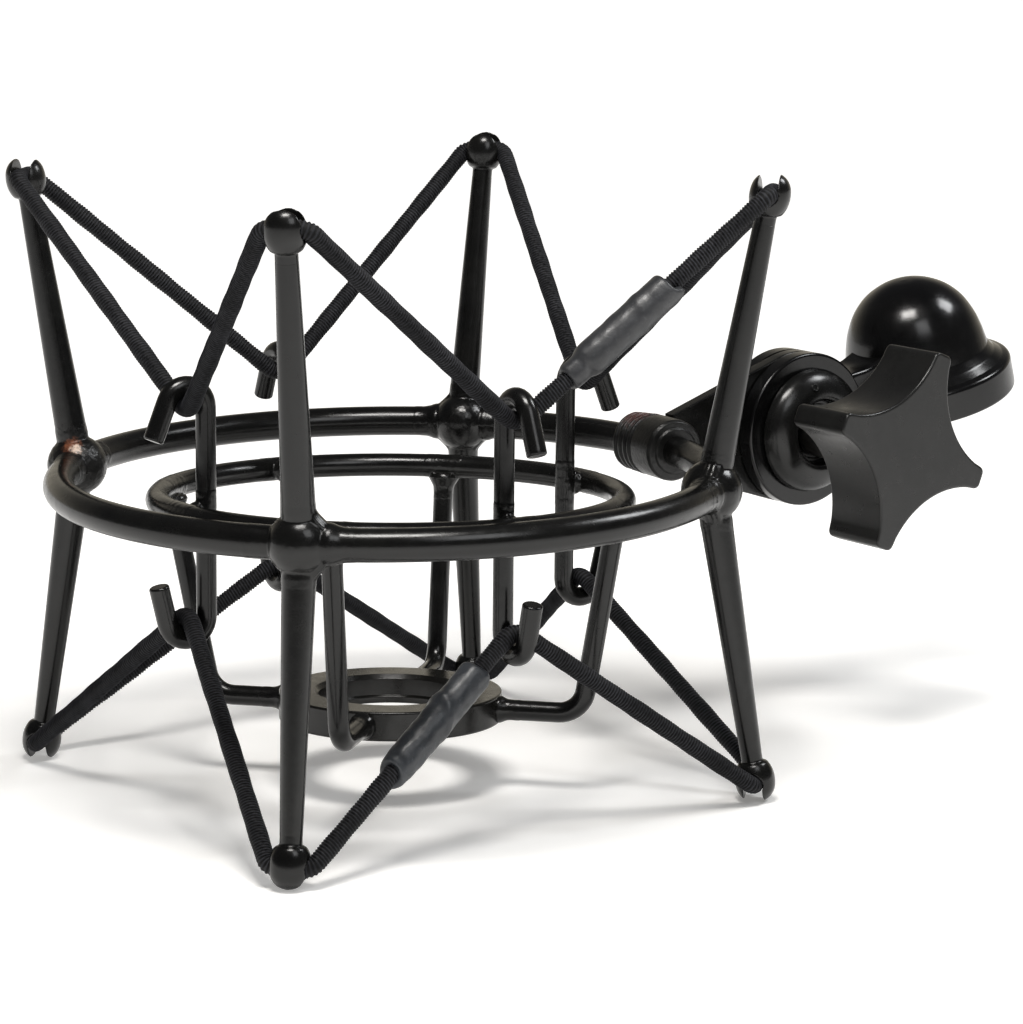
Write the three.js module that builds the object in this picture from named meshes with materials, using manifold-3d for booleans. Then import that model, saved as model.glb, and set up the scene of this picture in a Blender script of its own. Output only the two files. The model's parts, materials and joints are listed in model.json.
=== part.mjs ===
// Elastic shock mount for a side-address condenser microphone.
//
// An outer frame (ring, four nodes, eight slotted struts) carries a microphone cage (ring, four
// hooked rods, four bent arms, seat ring) in two elastic loops. A clamped swivel on the ring ends
// in a bell with the socket for a stand. Millimetres, +Z up, the axis of both rings vertical.
// The part stands on its four lower strut tips, with its box centred over the origin.

import * as THREE from 'three';
import { mergeVertices } from 'three/addons/utils/BufferGeometryUtils.js';
import Module from 'manifold-3d';

const wasm = await Module();
wasm.setup();

// ---- Driving dimensions ------------------------------------------------------------------

const GAP = 0.3; // clearance between neighbouring pieces

// Outer frame
const RING_RADIUS = 52.5; // centreline of the outer ring
const RING_ROD = 2.55; // radius of its rod
const NODE_BALL = 4.6; // radius of the brazed nodes
const NODE_BORE = 3.1; // radius of their bore for the ring
const TIP_RADIUS = 60; // distance of the strut tips from the axis
const TIP_HEIGHT = 46.8; // height of the tip centres above and below the ring
const STRUT_THICK = 2.6; // strut radius at the node
const STRUT_THIN = 1.7; // strut radius at the tip
const TIP_BALL = 3.2; // radius of the slotted tip
const TIP_END = 3.6; // from the tip's centre to its end
const SLOT_WIDTH = 3.5; // slot across the tip for the elastic
const TIP_SET = { right: 1.1, back: 2.4, left: 0, front: 0.6 }; // upper tips' set toward +X

// Elastic
const CORD = 1.45; // radius of the braided elastic
const SADDLE_HALF = 3.1; // the elastic bends down this far each side of a tip's centre
const TIP_BEND = 2.2; // bend radius of the elastic where it leaves a tip
const SLEEVE_BORE = 1.8;
const UPPER_SLEEVE = { from: 0.2, to: 0.6, radius: 2.75 }; // along a hook-to-tip stretch
const LOWER_SLEEVE = { from: 0.38, to: 0.81, radius: 2.6 }; // along a tip-to-hook stretch

// Microphone cage
const CAGE_TILT = 2.6; // degrees that the hanging cage leans back
const CAGE_SET = 0.5; // and how far it hangs toward +X
const INNER_RADIUS = 37.4; // centreline of the inner ring
const INNER_ROD = 1.95;
const INNER_HEIGHT = -3.3; // centreline height of the inner ring
const HOOK_ROD = 1.6; // rod radius of the hooks
const HOOK_LINE = 33.5; // distance of the straight rods from the axis
const CROOK = 3.45; // centreline radius of the crooks
const HOOK_TOP = 16.9; // centreline height of the upper crooks
const HOOK_BOTTOM = -22.8; // centreline height of the lower crooks
const UPPER_LEG = { lean: 22, length: 6.6 };
const LOWER_LEG = { lean: 14, length: 6.3 };
const ARM_ROD = 1.65;
const ARM_TOP = 36.9; // distance of an arm from the axis where it leaves the inner ring
const ARM_KNEES = [31.6, 31.9, 30.2, 31.9]; // distances of the knees from the axis
const ARM_BEND = 4.5;
const SEAT_TOP = -34.7; // top face of the seat ring
const SEAT_HEIGHT = 4.7;
const SEAT_OUTER = 18.1;
const SEAT_BORE = 11.7;
const SEAT_LIP = 11.2; // radius inside the lip at the foot of the bore

// Swivel
const COLLAR = 5.2; // outer radius of the collar on the ring
const COLLAR_BORE = 3.3;
const ARM_AZIMUTH = 49; // degrees: direction of the lug plate, seen from above
const HINGE_REACH = 30.6; // from the collar's axis to the hinge
const DISC = 13.3; // radius of the lug and of both cheeks
const LUG_HALF = 1.25; // half thickness of the lug plate
const CHEEK_IN = 1.55; // inner face of each cheek, from the middle plane
const CHEEK_OUT = 4.3; // outer face of each cheek
const BOLT_HOLE = 3.4;
const STAND_LIFT = 15; // degrees that the stand side is raised at rest
const BELL_REACH = 30.7; // from the hinge to the bell's axis
const BELL_RISE = 3.8; // the bell's centre stands this far above the hinge's level
const BELL_FOOT = -9.9; // underside of the flange, from the bell's centre
const FLANGE = 16.3; // radius of the bell's flange
const SOCKET = 7.9; // radius of the stand socket
const SOCKET_CEILING = 2;
const KNOB_BACK = 18.5; // back face of the star knob, from the middle plane
const KNOB_DEPTH = 12.3;
const KNOB_RADIUS = 17.1;
const KNOB_WAIST = 9.4; // distance of the hollows from the axis
const KNOB_LOBE = 1.9; // half width of a lobe at its end
const KNOB_TURN = 22.5; // degrees that the top lobe leans outward
const NECK = 5;
const BOLT = 3;

const QUARTERS = ['right', 'back', 'left', 'front'];
const DIAGONALS = ['back_right', 'back_left', 'front_left', 'front_right'];

// ---- Materials ---------------------------------------------------------------------------

function paint(colour, roughness, metalness) {
  return new THREE.MeshStandardMaterial({ color: colour, roughness, metalness });
}

const framePaint = paint(0x2e2e2c, 0.42, 0.35);
const cagePaint = paint(0x2b2b2a, 0.4, 0.35);
const castPaint = paint(0x373736, 0.45, 0.35);
const boltSteel = paint(0x55534f, 0.38, 0.9);
const braid = paint(0x1f1f22, 0.9, 0);
const shrink = paint(0x4a4b4f, 0.55, 0);

// ---- Geometry helpers --------------------------------------------------------------------

const UP = new THREE.Vector3(0, 0, 1);

function rad(degrees) {
  return THREE.MathUtils.degToRad(degrees);
}

function polar(radius, degrees, height = 0) {
  const angle = rad(degrees);
  return new THREE.Vector3(radius * Math.cos(angle), radius * Math.sin(angle), height);
}

function toSolid(geometry) {
  const bare = geometry.clone();
  bare.deleteAttribute('normal');
  bare.deleteAttribute('uv');
  const merged = mergeVertices(bare, 1e-4);
  return new wasm.Manifold(new wasm.Mesh({
    numProp: 3,
    vertProperties: new Float32Array(merged.attributes.position.array),
    triVerts: new Uint32Array(merged.index.array),
  }));
}

function toGeometry(solid) {
  const mesh = solid.getMesh();
  const geometry = new THREE.BufferGeometry();
  geometry.setAttribute('position', new THREE.BufferAttribute(mesh.vertProperties, 3));
  geometry.setIndex(new THREE.BufferAttribute(mesh.triVerts, 1));
  const flat = geometry.toNonIndexed();
  flat.computeVertexNormals();
  return flat;
}

function cut(geometry, ...tools) {
  let solid = toSolid(geometry);
  for (const tool of tools) {
    solid = solid.subtract(toSolid(tool));
  }
  return toGeometry(solid);
}

function join(first, ...others) {
  let solid = toSolid(first);
  for (const other of others) {
    solid = solid.add(toSolid(other));
  }
  return toGeometry(solid);
}

// Turns geometry made along +Y so that it runs along a direction, then moves it to a point.
function alongFrom(geometry, direction, point) {
  const turn = new THREE.Quaternion();
  turn.setFromUnitVectors(new THREE.Vector3(0, 1, 0), direction.clone().normalize());
  geometry.applyQuaternion(turn);
  geometry.translate(point.x, point.y, point.z);
  return geometry;
}

function lathe(profile, segments) {
  const points = profile.map(([radius, height]) => new THREE.Vector2(radius, height));
  return new THREE.LatheGeometry(points, segments);
}

// A closed profile turned round the axis, such as a ring or a sleeve.
function latheLoop(profile, segments) {
  return lathe([...profile, profile[0]], segments);
}

// A rod's centreline, kept as stations that are close together only where it bends.
class RodPath extends THREE.Curve {
  constructor() {
    super();
    this.points = [];
    this.tangents = [];
  }

  add(point, tangent) {
    this.points.push(point.clone());
    this.tangents.push(tangent.clone().normalize());
    return this;
  }

  // Runs straight on from the last station.
  forward(length) {
    const last = this.points.length - 1;
    const end = this.points[last].clone().addScaledVector(this.tangents[last], length);
    return this.add(end, this.tangents[last]);
  }

  // Bends about an axis by an angle in degrees, positive by the right-hand rule.
  bend(radius, axis, degrees, steps) {
    const last = this.points.length - 1;
    const side = new THREE.Vector3().crossVectors(axis, this.tangents[last]);
    const centre = this.points[last].clone().addScaledVector(side, Math.sign(degrees) * radius);
    const spoke = this.points[last].clone().sub(centre);
    const tangent = this.tangents[last].clone();
    for (let step = 1; step <= steps; step += 1) {
      const angle = rad(degrees) * step / steps;
      const point = spoke.clone().applyAxisAngle(axis, angle).add(centre);
      this.add(point, tangent.clone().applyAxisAngle(axis, angle));
    }
    return this;
  }

  station(u) {
    return Math.round(u * (this.points.length - 1));
  }

  getPoint(u) {
    return this.points[this.station(u)].clone();
  }

  getPointAt(u) {
    return this.getPoint(u);
  }

  getTangent(u) {
    return this.tangents[this.station(u)].clone();
  }

  getTangentAt(u) {
    return this.getTangent(u);
  }
}

function roundSection(radius, sides) {
  const corners = [];
  for (let side = 0; side < sides; side += 1) {
    const angle = 2 * Math.PI * (side + 0.5) / sides;
    corners.push(new THREE.Vector2(radius * Math.cos(angle), radius * Math.sin(angle)));
  }
  return new THREE.Shape(corners);
}

function rod(path, radius, sides = 8) {
  return new THREE.ExtrudeGeometry(roundSection(radius, sides), {
    steps: path.points.length - 1,
    extrudePath: path,
    bevelEnabled: false,
  });
}

function piece(parent, name, geometry, material) {
  const mesh = new THREE.Mesh(geometry, material);
  mesh.name = name;
  parent.add(mesh);
  return mesh;
}

// ---- Elastic route -----------------------------------------------------------------------

const cage = new THREE.Group();
cage.rotation.x = rad(-CAGE_TILT);
cage.position.x = CAGE_SET;
cage.updateMatrixWorld(true);

function tipCentre(quarter, side) {
  const tip = polar(TIP_RADIUS, 90 * quarter, side * TIP_HEIGHT);
  if (side > 0) {
    tip.x += TIP_SET[QUARTERS[quarter]];
  }
  return tip;
}

function crookCentre(diagonal, side) {
  const height = side > 0 ? HOOK_TOP - CROOK : HOOK_BOTTOM + CROOK;
  return polar(HOOK_LINE + CROOK, 45 + 90 * diagonal, height);
}

// The elastic turns on each side of every tip and under the crown of each crook.
function turningPoints(side) {
  const turns = [];
  for (let quarter = 0; quarter < 4; quarter += 1) {
    for (const offset of [-SADDLE_HALF, SADDLE_HALF]) {
      const apex = tipCentre(quarter, side).add(polar(offset, 90 * quarter + 90));
      turns.push({ apex, radius: TIP_BEND });
    }
    const inCrook = CROOK - HOOK_ROD - CORD - 1.2 * GAP;
    const apex = crookCentre(quarter, side).add(new THREE.Vector3(0, 0, side * inCrook));
    turns.push({ apex: apex.applyMatrix4(cage.matrixWorld), radius: HOOK_ROD + CORD + GAP });
  }
  return turns;
}

// Corners of the straight stretches, found so that every bend is tangent at its radius.
function corners(turns) {
  let points = turns.map((turn) => turn.apex.clone());
  for (let round = 0; round < 12; round += 1) {
    points = turns.map((turn, index) => {
      const here = points[index];
      const before = points.at(index - 1).clone().sub(here).normalize();
      const after = points[(index + 1) % points.length].clone().sub(here).normalize();
      const inward = before.clone().add(after).normalize();
      const halfTurn = Math.PI / 2 - before.angleTo(after) / 2;
      const beyond = turn.radius / Math.cos(halfTurn) - turn.radius;
      return turn.apex.clone().addScaledVector(inward, -beyond);
    });
  }
  return points;
}

function turnAt(points, index) {
  const here = points[index % points.length];
  const arriving = here.clone().sub(points.at((index % points.length) - 1)).normalize();
  const leaving = points[(index + 1) % points.length].clone().sub(here).normalize();
  const axis = new THREE.Vector3().crossVectors(arriving, leaving).normalize();
  return { here, arriving, axis, angle: arriving.angleTo(leaving) };
}

// The elastic's two ends meet inside its sleeve, so its route starts and ends there.
function elasticRoute(side, startIndex, startFraction) {
  const turns = turningPoints(side);
  const points = corners(turns);
  const first = points[startIndex];
  const second = points[(startIndex + 1) % points.length];
  const start = first.clone().lerp(second, startFraction);
  const heading = second.clone().sub(first).normalize();
  const path = new RodPath().add(start.clone().addScaledVector(heading, GAP / 2), heading);
  for (let step = 1; step <= points.length; step += 1) {
    const index = (startIndex + step) % points.length;
    const turn = turnAt(points, index);
    const { radius } = turns[index];
    const setback = radius * Math.tan(turn.angle / 2);
    path.add(turn.here.clone().addScaledVector(turn.arriving, -setback), turn.arriving);
    path.bend(radius, turn.axis, THREE.MathUtils.radToDeg(turn.angle), 4);
  }
  path.add(start.clone().addScaledVector(heading, -GAP / 2), heading);
  return { path, first, second, heading };
}

// Three turns a quarter, from the right tip: 0 and 1 at its two sides, 2 in the back-right hook.
const FRONT_RIGHT_HOOK = 11;
const FRONT_TIP = 10;
const upperRoute = elasticRoute(1, FRONT_RIGHT_HOOK, (UPPER_SLEEVE.from + UPPER_SLEEVE.to) / 2);
const lowerRoute = elasticRoute(-1, FRONT_TIP, (LOWER_SLEEVE.from + LOWER_SLEEVE.to) / 2);

function sleeve(route, size, firstEndNarrow) {
  const span = route.second.clone().sub(route.first).length();
  const length = (size.to - size.from) * span;
  const narrow = firstEndNarrow ? size.radius - 0.45 : size.radius;
  const profile = [
    [SLEEVE_BORE, 0],
    [narrow - 0.2, 0],
    [narrow, 0.4],
    [narrow, 2],
    [size.radius, 2.8],
    [size.radius, length - 0.4],
    [size.radius - 0.3, length],
    [SLEEVE_BORE, length],
  ];
  const start = route.first.clone().lerp(route.second, size.from);
  return alongFrom(latheLoop(profile, 12), route.heading, start);
}

// ---- Outer frame -------------------------------------------------------------------------

function ringNode(quarter) {
  const ball = new THREE.SphereGeometry(NODE_BALL, 14, 10);
  ball.rotateX(Math.PI / 2);
  const bore = new THREE.CylinderGeometry(NODE_BORE, NODE_BORE, 4 * NODE_BALL, 12);
  const node = cut(ball, bore);
  node.translate(RING_RADIUS, 0, 0);
  node.rotateZ(rad(90 * quarter));
  return node;
}

// One turned rod: thick foot against the node, taper, acorn tip slotted for the elastic.
function strut(quarter, side, route) {
  const foot = polar(RING_RADIUS, 90 * quarter);
  const tip = tipCentre(quarter, side);
  const axis = tip.clone().sub(foot).normalize();
  const reach = tip.distanceTo(foot);
  const body = alongFrom(lathe([
    [0, NODE_BALL + GAP],
    [STRUT_THICK, NODE_BALL + GAP],
    [STRUT_THIN, reach - 3.6],
    [TIP_BALL * 0.85, reach - 2.2],
    [TIP_BALL, reach - 0.7],
    [TIP_BALL, reach + 0.8],
    [TIP_BALL * 0.86, reach + 2.2],
    [TIP_BALL * 0.62, reach + 3.2],
    [TIP_BALL * 0.45, reach + TIP_END],
    [0, reach + TIP_END],
  ], 12), axis, foot);
  const slot = new THREE.BoxGeometry(SLOT_WIDTH, 12, 8);
  slot.translate(0, 0, side * 4);
  slot.rotateZ(rad(90 * quarter));
  slot.translate(tip.x, tip.y, tip.z);
  return cut(body, slot, rod(route.path, CORD + GAP));
}

// A turned collar bent to the ring: plain barrel with a stepped end, and a ribbed end.
function ringCollar() {
  const profile = [
    [COLLAR_BORE, -6.6],
    [3.9, -6.6],
    [3.9, -6.2],
    [COLLAR - 0.3, -6.2],
    [COLLAR, -5.8],
    [COLLAR, 0.2],
  ];
  for (let rib = 0; rib < 4; rib += 1) {
    const start = 0.2 + 1.35 * rib;
    profile.push([COLLAR - 0.55, start + 0.45]);
    profile.push([COLLAR - 0.1 * rib, start + 1.1]);
  }
  profile.push([COLLAR - 1, 6.4], [COLLAR_BORE, 6.6]);
  const collar = latheLoop(profile, 16);
  const position = collar.attributes.position;
  for (let index = 0; index < position.count; index += 1) {
    const radius = RING_RADIUS + position.getX(index);
    const angle = position.getY(index) / RING_RADIUS;
    position.setXYZ(index, radius * Math.cos(angle), radius * Math.sin(angle), position.getZ(index));
  }
  collar.rotateZ(rad(45));
  collar.computeVertexNormals();
  return collar;
}

const group = new THREE.Group();
const ring = new THREE.TorusGeometry(RING_RADIUS, RING_ROD, 10, 56);
piece(group, 'outer_ring', ring, framePaint);
for (let quarter = 0; quarter < 4; quarter += 1) {
  const place = QUARTERS[quarter];
  piece(group, `node_${place}`, ringNode(quarter), framePaint);
  piece(group, `strut_upper_${place}`, strut(quarter, 1, upperRoute), framePaint);
  piece(group, `strut_lower_${place}`, strut(quarter, -1, lowerRoute), framePaint);
}
piece(group, 'ring_collar', ringCollar(), framePaint);
piece(group, 'elastic_upper', rod(upperRoute.path, CORD), braid);
piece(group, 'elastic_lower', rod(lowerRoute.path, CORD), braid);
piece(group, 'sleeve_upper', sleeve(upperRoute, UPPER_SLEEVE, true), shrink);
piece(group, 'sleeve_lower', sleeve(lowerRoute, LOWER_SLEEVE, false), shrink);

// ---- Microphone cage ---------------------------------------------------------------------

// A straight rod with a crook at each end: free legs outward, leaning away from the rod.
function hookRod(diagonal) {
  const around = new THREE.Vector3(0, 1, 0);
  const bottom = HOOK_BOTTOM + CROOK;
  const top = HOOK_TOP - CROOK;
  const lowerLean = rad(LOWER_LEG.lean);
  const arcEnd = new THREE.Vector3(CROOK * Math.cos(lowerLean), 0, -CROOK * Math.sin(lowerLean));
  const away = new THREE.Vector3(Math.sin(lowerLean), 0, Math.cos(lowerLean));
  const start = new THREE.Vector3(HOOK_LINE + CROOK, 0, bottom);
  start.add(arcEnd).addScaledVector(away, LOWER_LEG.length);
  const path = new RodPath().add(start, away.clone().negate());
  path.forward(LOWER_LEG.length);
  path.bend(CROOK, around, 180 - LOWER_LEG.lean, 6);
  path.forward(top - bottom);
  path.bend(CROOK, around, 180 - UPPER_LEG.lean, 6);
  path.forward(UPPER_LEG.length);
  return rod(path, HOOK_ROD).rotateZ(rad(45 + 90 * diagonal));
}

// From under the inner ring down and inward, then level to the seat ring.
function cageArm(quarter) {
  const level = SEAT_TOP - SEAT_HEIGHT / 2;
  const top = new THREE.Vector3(ARM_TOP, 0, INNER_HEIGHT - INNER_ROD - GAP);
  const knee = new THREE.Vector3(ARM_KNEES[quarter], 0, level);
  const fall = knee.clone().sub(top);
  const turn = new THREE.Vector3(-1, 0, 0).angleTo(fall);
  const setback = ARM_BEND * Math.tan(turn / 2);
  const path = new RodPath().add(top, fall);
  path.forward(fall.length() - setback);
  path.bend(ARM_BEND, new THREE.Vector3(0, 1, 0), THREE.MathUtils.radToDeg(turn), 4);
  path.forward(ARM_KNEES[quarter] - setback - SEAT_OUTER - GAP);
  return rod(path, ARM_ROD).rotateZ(rad(90 * quarter));
}

function seatRing() {
  const foot = SEAT_TOP - SEAT_HEIGHT;
  const ringBody = latheLoop([
    [SEAT_LIP, foot],
    [SEAT_OUTER - 0.4, foot],
    [SEAT_OUTER, foot + 0.4],
    [SEAT_OUTER, SEAT_TOP - 0.4],
    [SEAT_OUTER - 0.4, SEAT_TOP],
    [SEAT_BORE + 0.6, SEAT_TOP],
    [SEAT_BORE, SEAT_TOP - 0.6],
    [SEAT_BORE, foot + 1.4],
    [SEAT_LIP, foot + 1.2],
  ], 40);
  return ringBody.rotateX(Math.PI / 2);
}

group.add(cage);
const innerRing = new THREE.TorusGeometry(INNER_RADIUS, INNER_ROD, 10, 48);
innerRing.translate(0, 0, INNER_HEIGHT);
piece(cage, 'inner_ring', innerRing, cagePaint);
for (let quarter = 0; quarter < 4; quarter += 1) {
  piece(cage, `hook_rod_${DIAGONALS[quarter]}`, hookRod(quarter), cagePaint);
  piece(cage, `cage_arm_${QUARTERS[quarter]}`, cageArm(quarter), cagePaint);
}
piece(cage, 'seat_ring', seatRing(), cagePaint);

// ---- Swivel ------------------------------------------------------------------------------

// In the swivel's own frame X runs out along the arm, Z up, and the knob is on the -Y side.

// A flat outline in X and Z, given thickness along Y.
function plate(shape, from, to) {
  const slab = new THREE.ExtrudeGeometry(shape, {
    depth: to - from,
    bevelEnabled: false,
    curveSegments: 28,
  });
  slab.rotateX(Math.PI / 2);
  slab.translate(0, to, 0);
  return slab;
}

function bolthole() {
  return new THREE.CylinderGeometry(BOLT_HOLE, BOLT_HOLE, 40, 16);
}

// Teardrop plate: hollowed to the collar at one end, a drilled disc at the other.
function lugPlate() {
  const root = new THREE.Vector2(2.8, 5);
  const toRoot = new THREE.Vector2(root.x - HINGE_REACH, root.y);
  const touch = toRoot.angle() - Math.acos(DISC / toRoot.length());
  const shape = new THREE.Shape();
  shape.absarc(HINGE_REACH, 0, DISC, touch, -touch, true);
  shape.absarc(0, 0, root.length(), -root.angle(), root.angle(), false);
  shape.closePath();
  const slab = plate(shape, -LUG_HALF, LUG_HALF);
  slab.translate(-HINGE_REACH, 0, 0);
  return cut(slab, bolthole());
}

// The bell, with a flange at the foot and the plain bore of the stand socket.
function bellBody() {
  return lathe([
    [0, SOCKET_CEILING],
    [SOCKET, SOCKET_CEILING],
    [SOCKET, BELL_FOOT + 0.7],
    [SOCKET + 0.7, BELL_FOOT],
    [FLANGE - 0.5, BELL_FOOT],
    [FLANGE, BELL_FOOT + 0.5],
    [FLANGE, -4.3],
    [FLANGE - 0.5, -3.6],
    [13.7, -2.7],
    [12.7, -1.4],
    [12.2, 1.4],
    [11.3, 4.4],
    [9.8, 7.2],
    [7.8, 9.4],
    [5.2, 11.1],
    [2.6, 12],
    [0, 12.3],
  ], 32).rotateX(Math.PI / 2).translate(BELL_REACH, 0, BELL_RISE);
}

// Fork cheeks, neck and bell are one casting.
function standFork() {
  const disc = new THREE.CylinderGeometry(DISC, DISC, 2 * CHEEK_OUT, 40);
  const outline = new THREE.Shape();
  outline.moveTo(0, -6.4);
  outline.lineTo(BELL_REACH - 10, -3.2);
  outline.lineTo(BELL_REACH - 10, 5.2);
  outline.lineTo(0, 7);
  outline.closePath();
  const neck = plate(outline, -CHEEK_OUT + 0.05, CHEEK_OUT - 0.05);
  const slot = new THREE.CylinderGeometry(DISC + 0.5, DISC + 0.5, 2 * CHEEK_IN, 40);
  return cut(join(disc, neck, bellBody()), slot, bolthole());
}

// Domed washer with a recess for the knob's neck.
function clampCup() {
  return latheLoop([
    [BOLT_HOLE, CHEEK_OUT + GAP],
    [10.7, CHEEK_OUT + GAP],
    [10.6, 5.3],
    [10, 6.5],
    [8.9, 7.5],
    [7.6, 7.9],
    [6.7, 7.9],
    [6.4, 7.5],
    [6.4, 5.9],
    [BOLT_HOLE, 5.9],
  ], 24).rotateX(Math.PI);
}

// Four blunt lobes joined by round hollows.
function starKnob() {
  const shape = new THREE.Shape();
  const far = KNOB_RADIUS - 1;
  const squared = far ** 2 + KNOB_LOBE ** 2 - KNOB_WAIST ** 2;
  const spread = squared / (2 * (far + KNOB_LOBE - Math.SQRT2 * KNOB_WAIST));
  const hollow = Math.SQRT2 * spread - KNOB_WAIST;
  const flank = Math.atan2(spread - far, spread - KNOB_LOBE);
  for (let lobe = 0; lobe < 4; lobe += 1) {
    const turn = 90 * lobe + 90 - KNOB_TURN;
    const corner = (along, across) => {
      const direction = polar(along, turn).add(polar(across, turn + 90));
      return new THREE.Vector2(direction.x, direction.y);
    };
    const points = [
      corner(far, -KNOB_LOBE),
      corner(KNOB_RADIUS, -KNOB_LOBE * 0.6),
      corner(KNOB_RADIUS, KNOB_LOBE * 0.6),
      corner(far, KNOB_LOBE),
    ];
    for (const point of points) {
      if (lobe === 0 && point === points[0]) {
        shape.moveTo(point.x, point.y);
      } else {
        shape.lineTo(point.x, point.y);
      }
    }
    const centre = corner(spread, spread);
    const facing = rad(turn + 225);
    const half = Math.PI / 4 - flank;
    shape.absarc(centre.x, centre.y, hollow, facing + half, facing - half, true);
  }
  const bevel = 0.5;
  const star = new THREE.ExtrudeGeometry(shape, {
    depth: KNOB_DEPTH - 2 * bevel,
    bevelThickness: bevel,
    bevelSize: bevel,
    bevelOffset: -bevel,
    bevelSegments: 1,
    curveSegments: 8,
  });
  star.rotateX(Math.PI / 2);
  return star.translate(0, -KNOB_BACK - bevel, 0);
}

// The knob's neck turned in one with the clamp bolt, which reaches through both cheeks.
function clampBolt() {
  return lathe([
    [0, -CHEEK_OUT - 1.2],
    [BOLT - 0.5, -CHEEK_OUT - 1.2],
    [BOLT, -CHEEK_OUT - 0.7],
    [BOLT, 5.9 + GAP],
    [NECK, 5.9 + GAP],
    [NECK, KNOB_BACK - GAP],
    [0, KNOB_BACK - GAP],
  ], 16).rotateX(Math.PI);
}

const swivel = new THREE.Group();
swivel.position.copy(polar(RING_RADIUS, 45)).add(polar(HINGE_REACH, ARM_AZIMUTH));
swivel.rotation.z = rad(ARM_AZIMUTH);
group.add(swivel);
piece(swivel, 'lug_plate', lugPlate(), framePaint);

const standSide = new THREE.Group();
standSide.rotation.y = rad(-STAND_LIFT);
swivel.add(standSide);
piece(standSide, 'stand_fork', standFork(), castPaint);

piece(swivel, 'clamp_cup', clampCup(), castPaint);
piece(swivel, 'clamp_bolt', clampBolt(), boltSteel);
piece(swivel, 'star_knob', starKnob(), castPaint);

// ---- Placing -----------------------------------------------------------------------------

const part = new THREE.Group();
part.add(group);
part.updateMatrixWorld(true);
const box = new THREE.Box3().setFromObject(part, true);
const middle = box.getCenter(new THREE.Vector3());
group.position.set(-middle.x, -middle.y, -box.min.z);
part.updateMatrixWorld(true);

export default part;
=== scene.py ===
"""Elastic shock mount for a condenser microphone: the visual model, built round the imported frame.

Shapes are made in millimetres in a few local spaces and written to the meshes in metres.
"""
import json
import math

import bmesh
import bpy
import numpy as np
from mathutils import Matrix, Vector, noise


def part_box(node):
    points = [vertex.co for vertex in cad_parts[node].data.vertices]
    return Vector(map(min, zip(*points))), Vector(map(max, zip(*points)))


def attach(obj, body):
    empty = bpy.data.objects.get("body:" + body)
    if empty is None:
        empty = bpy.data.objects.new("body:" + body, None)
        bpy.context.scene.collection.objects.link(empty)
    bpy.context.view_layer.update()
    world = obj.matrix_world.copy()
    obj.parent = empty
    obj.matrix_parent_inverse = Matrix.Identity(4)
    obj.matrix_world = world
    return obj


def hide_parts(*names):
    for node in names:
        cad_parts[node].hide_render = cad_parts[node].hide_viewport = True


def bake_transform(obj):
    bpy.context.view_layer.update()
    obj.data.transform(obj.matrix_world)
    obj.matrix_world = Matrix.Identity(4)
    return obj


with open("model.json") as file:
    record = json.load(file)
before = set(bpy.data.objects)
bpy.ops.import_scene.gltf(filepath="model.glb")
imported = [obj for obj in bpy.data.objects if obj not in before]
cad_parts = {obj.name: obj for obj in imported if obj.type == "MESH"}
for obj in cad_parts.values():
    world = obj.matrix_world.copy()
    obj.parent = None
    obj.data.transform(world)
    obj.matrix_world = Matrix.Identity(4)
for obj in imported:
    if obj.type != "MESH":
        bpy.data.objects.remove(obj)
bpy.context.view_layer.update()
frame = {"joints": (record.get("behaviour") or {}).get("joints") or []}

# ---- Driving dimensions, in millimetres and degrees ----

MM = 0.001
QUARTERS = ["right", "back", "left", "front"]
DIAGONALS = ["back_right", "back_left", "front_left", "front_right"]

RING_RADIUS = 52.5
RING_ROD = 2.55
NODE_BALL = 4.6
TIP_RADIUS = 60
TIP_HEIGHT = 46.8
STRUT_THICK = 2.6
STRUT_THIN = 1.7
TIP_BALL = 3.2
TIP_END = 3.6
TIP_SET = [1.1, 2.4, 0, 0.6]  # the upper tips' set toward +X
SLOT_WIDTH = 2.9

CORD = 1.45
RIB_PITCH = 0.5
RIB_DEPTH = 0.24
SADDLE_HALF = 3.1
TIP_BEND = 2.2
HOOK_GAP = 0.36  # between the cord and the inside of a crook
UPPER_SLEEVE = (0.2, 0.6, 2.75)  # from, to along a hook-to-tip stretch, and radius
LOWER_SLEEVE = (0.38, 0.81, 2.6)  # the same along a tip-to-hook stretch

CAGE_TILT = 2.6
CAGE_SET = 0.5
INNER_RADIUS = 37.4
INNER_ROD = 1.95
INNER_HEIGHT = -3.3
HOOK_ROD = 1.6
HOOK_LINE = 33.5
CROOK = 3.45
HOOK_TOP = 16.9
HOOK_BOTTOM = -22.8
UPPER_LEG = (22, 6.6)  # lean and length
LOWER_LEG = (14, 6.3)
ARM_ROD = 1.65
ARM_TOP = 36.9
ARM_KNEES = [31.6, 31.9, 30.2, 31.9]
ARM_BEND = 4.5
SEAT_TOP = -34.7
SEAT_HEIGHT = 4.7
SEAT_MIDDLE = SEAT_TOP - SEAT_HEIGHT / 2
SEAT_OUTER = 18.1
SEAT_BORE = 11.7
SEAT_LIP = 11.2

COLLAR = 5.2
COLLAR_AZIMUTH = 45
ARM_AZIMUTH = 49
HINGE_REACH = 30.6
DISC = 13.3
LUG_HALF = 1.25
CHEEK_IN = 1.55
CHEEK_OUT = 4.3
BOLT_HOLE = 3.4
STAND_LIFT = 15
BELL_REACH = 30.7
BELL_RISE = 3.8
BELL_FOOT = -9.9
FLANGE = 16.3
SOCKET = 7.9
SOCKET_CEILING = 2
THREAD_PITCH = 0.94
KNOB_BACK = 18.5
KNOB_DEPTH = 12.3
KNOB_RADIUS = 17.1
KNOB_WAIST = 9.4
KNOB_LOBE = 1.9
KNOB_TURN = 22.5
NECK = 4.3
BOLT = 3

FLOOR_REACH = 4000
FLOOR_DEPTH = 20

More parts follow.
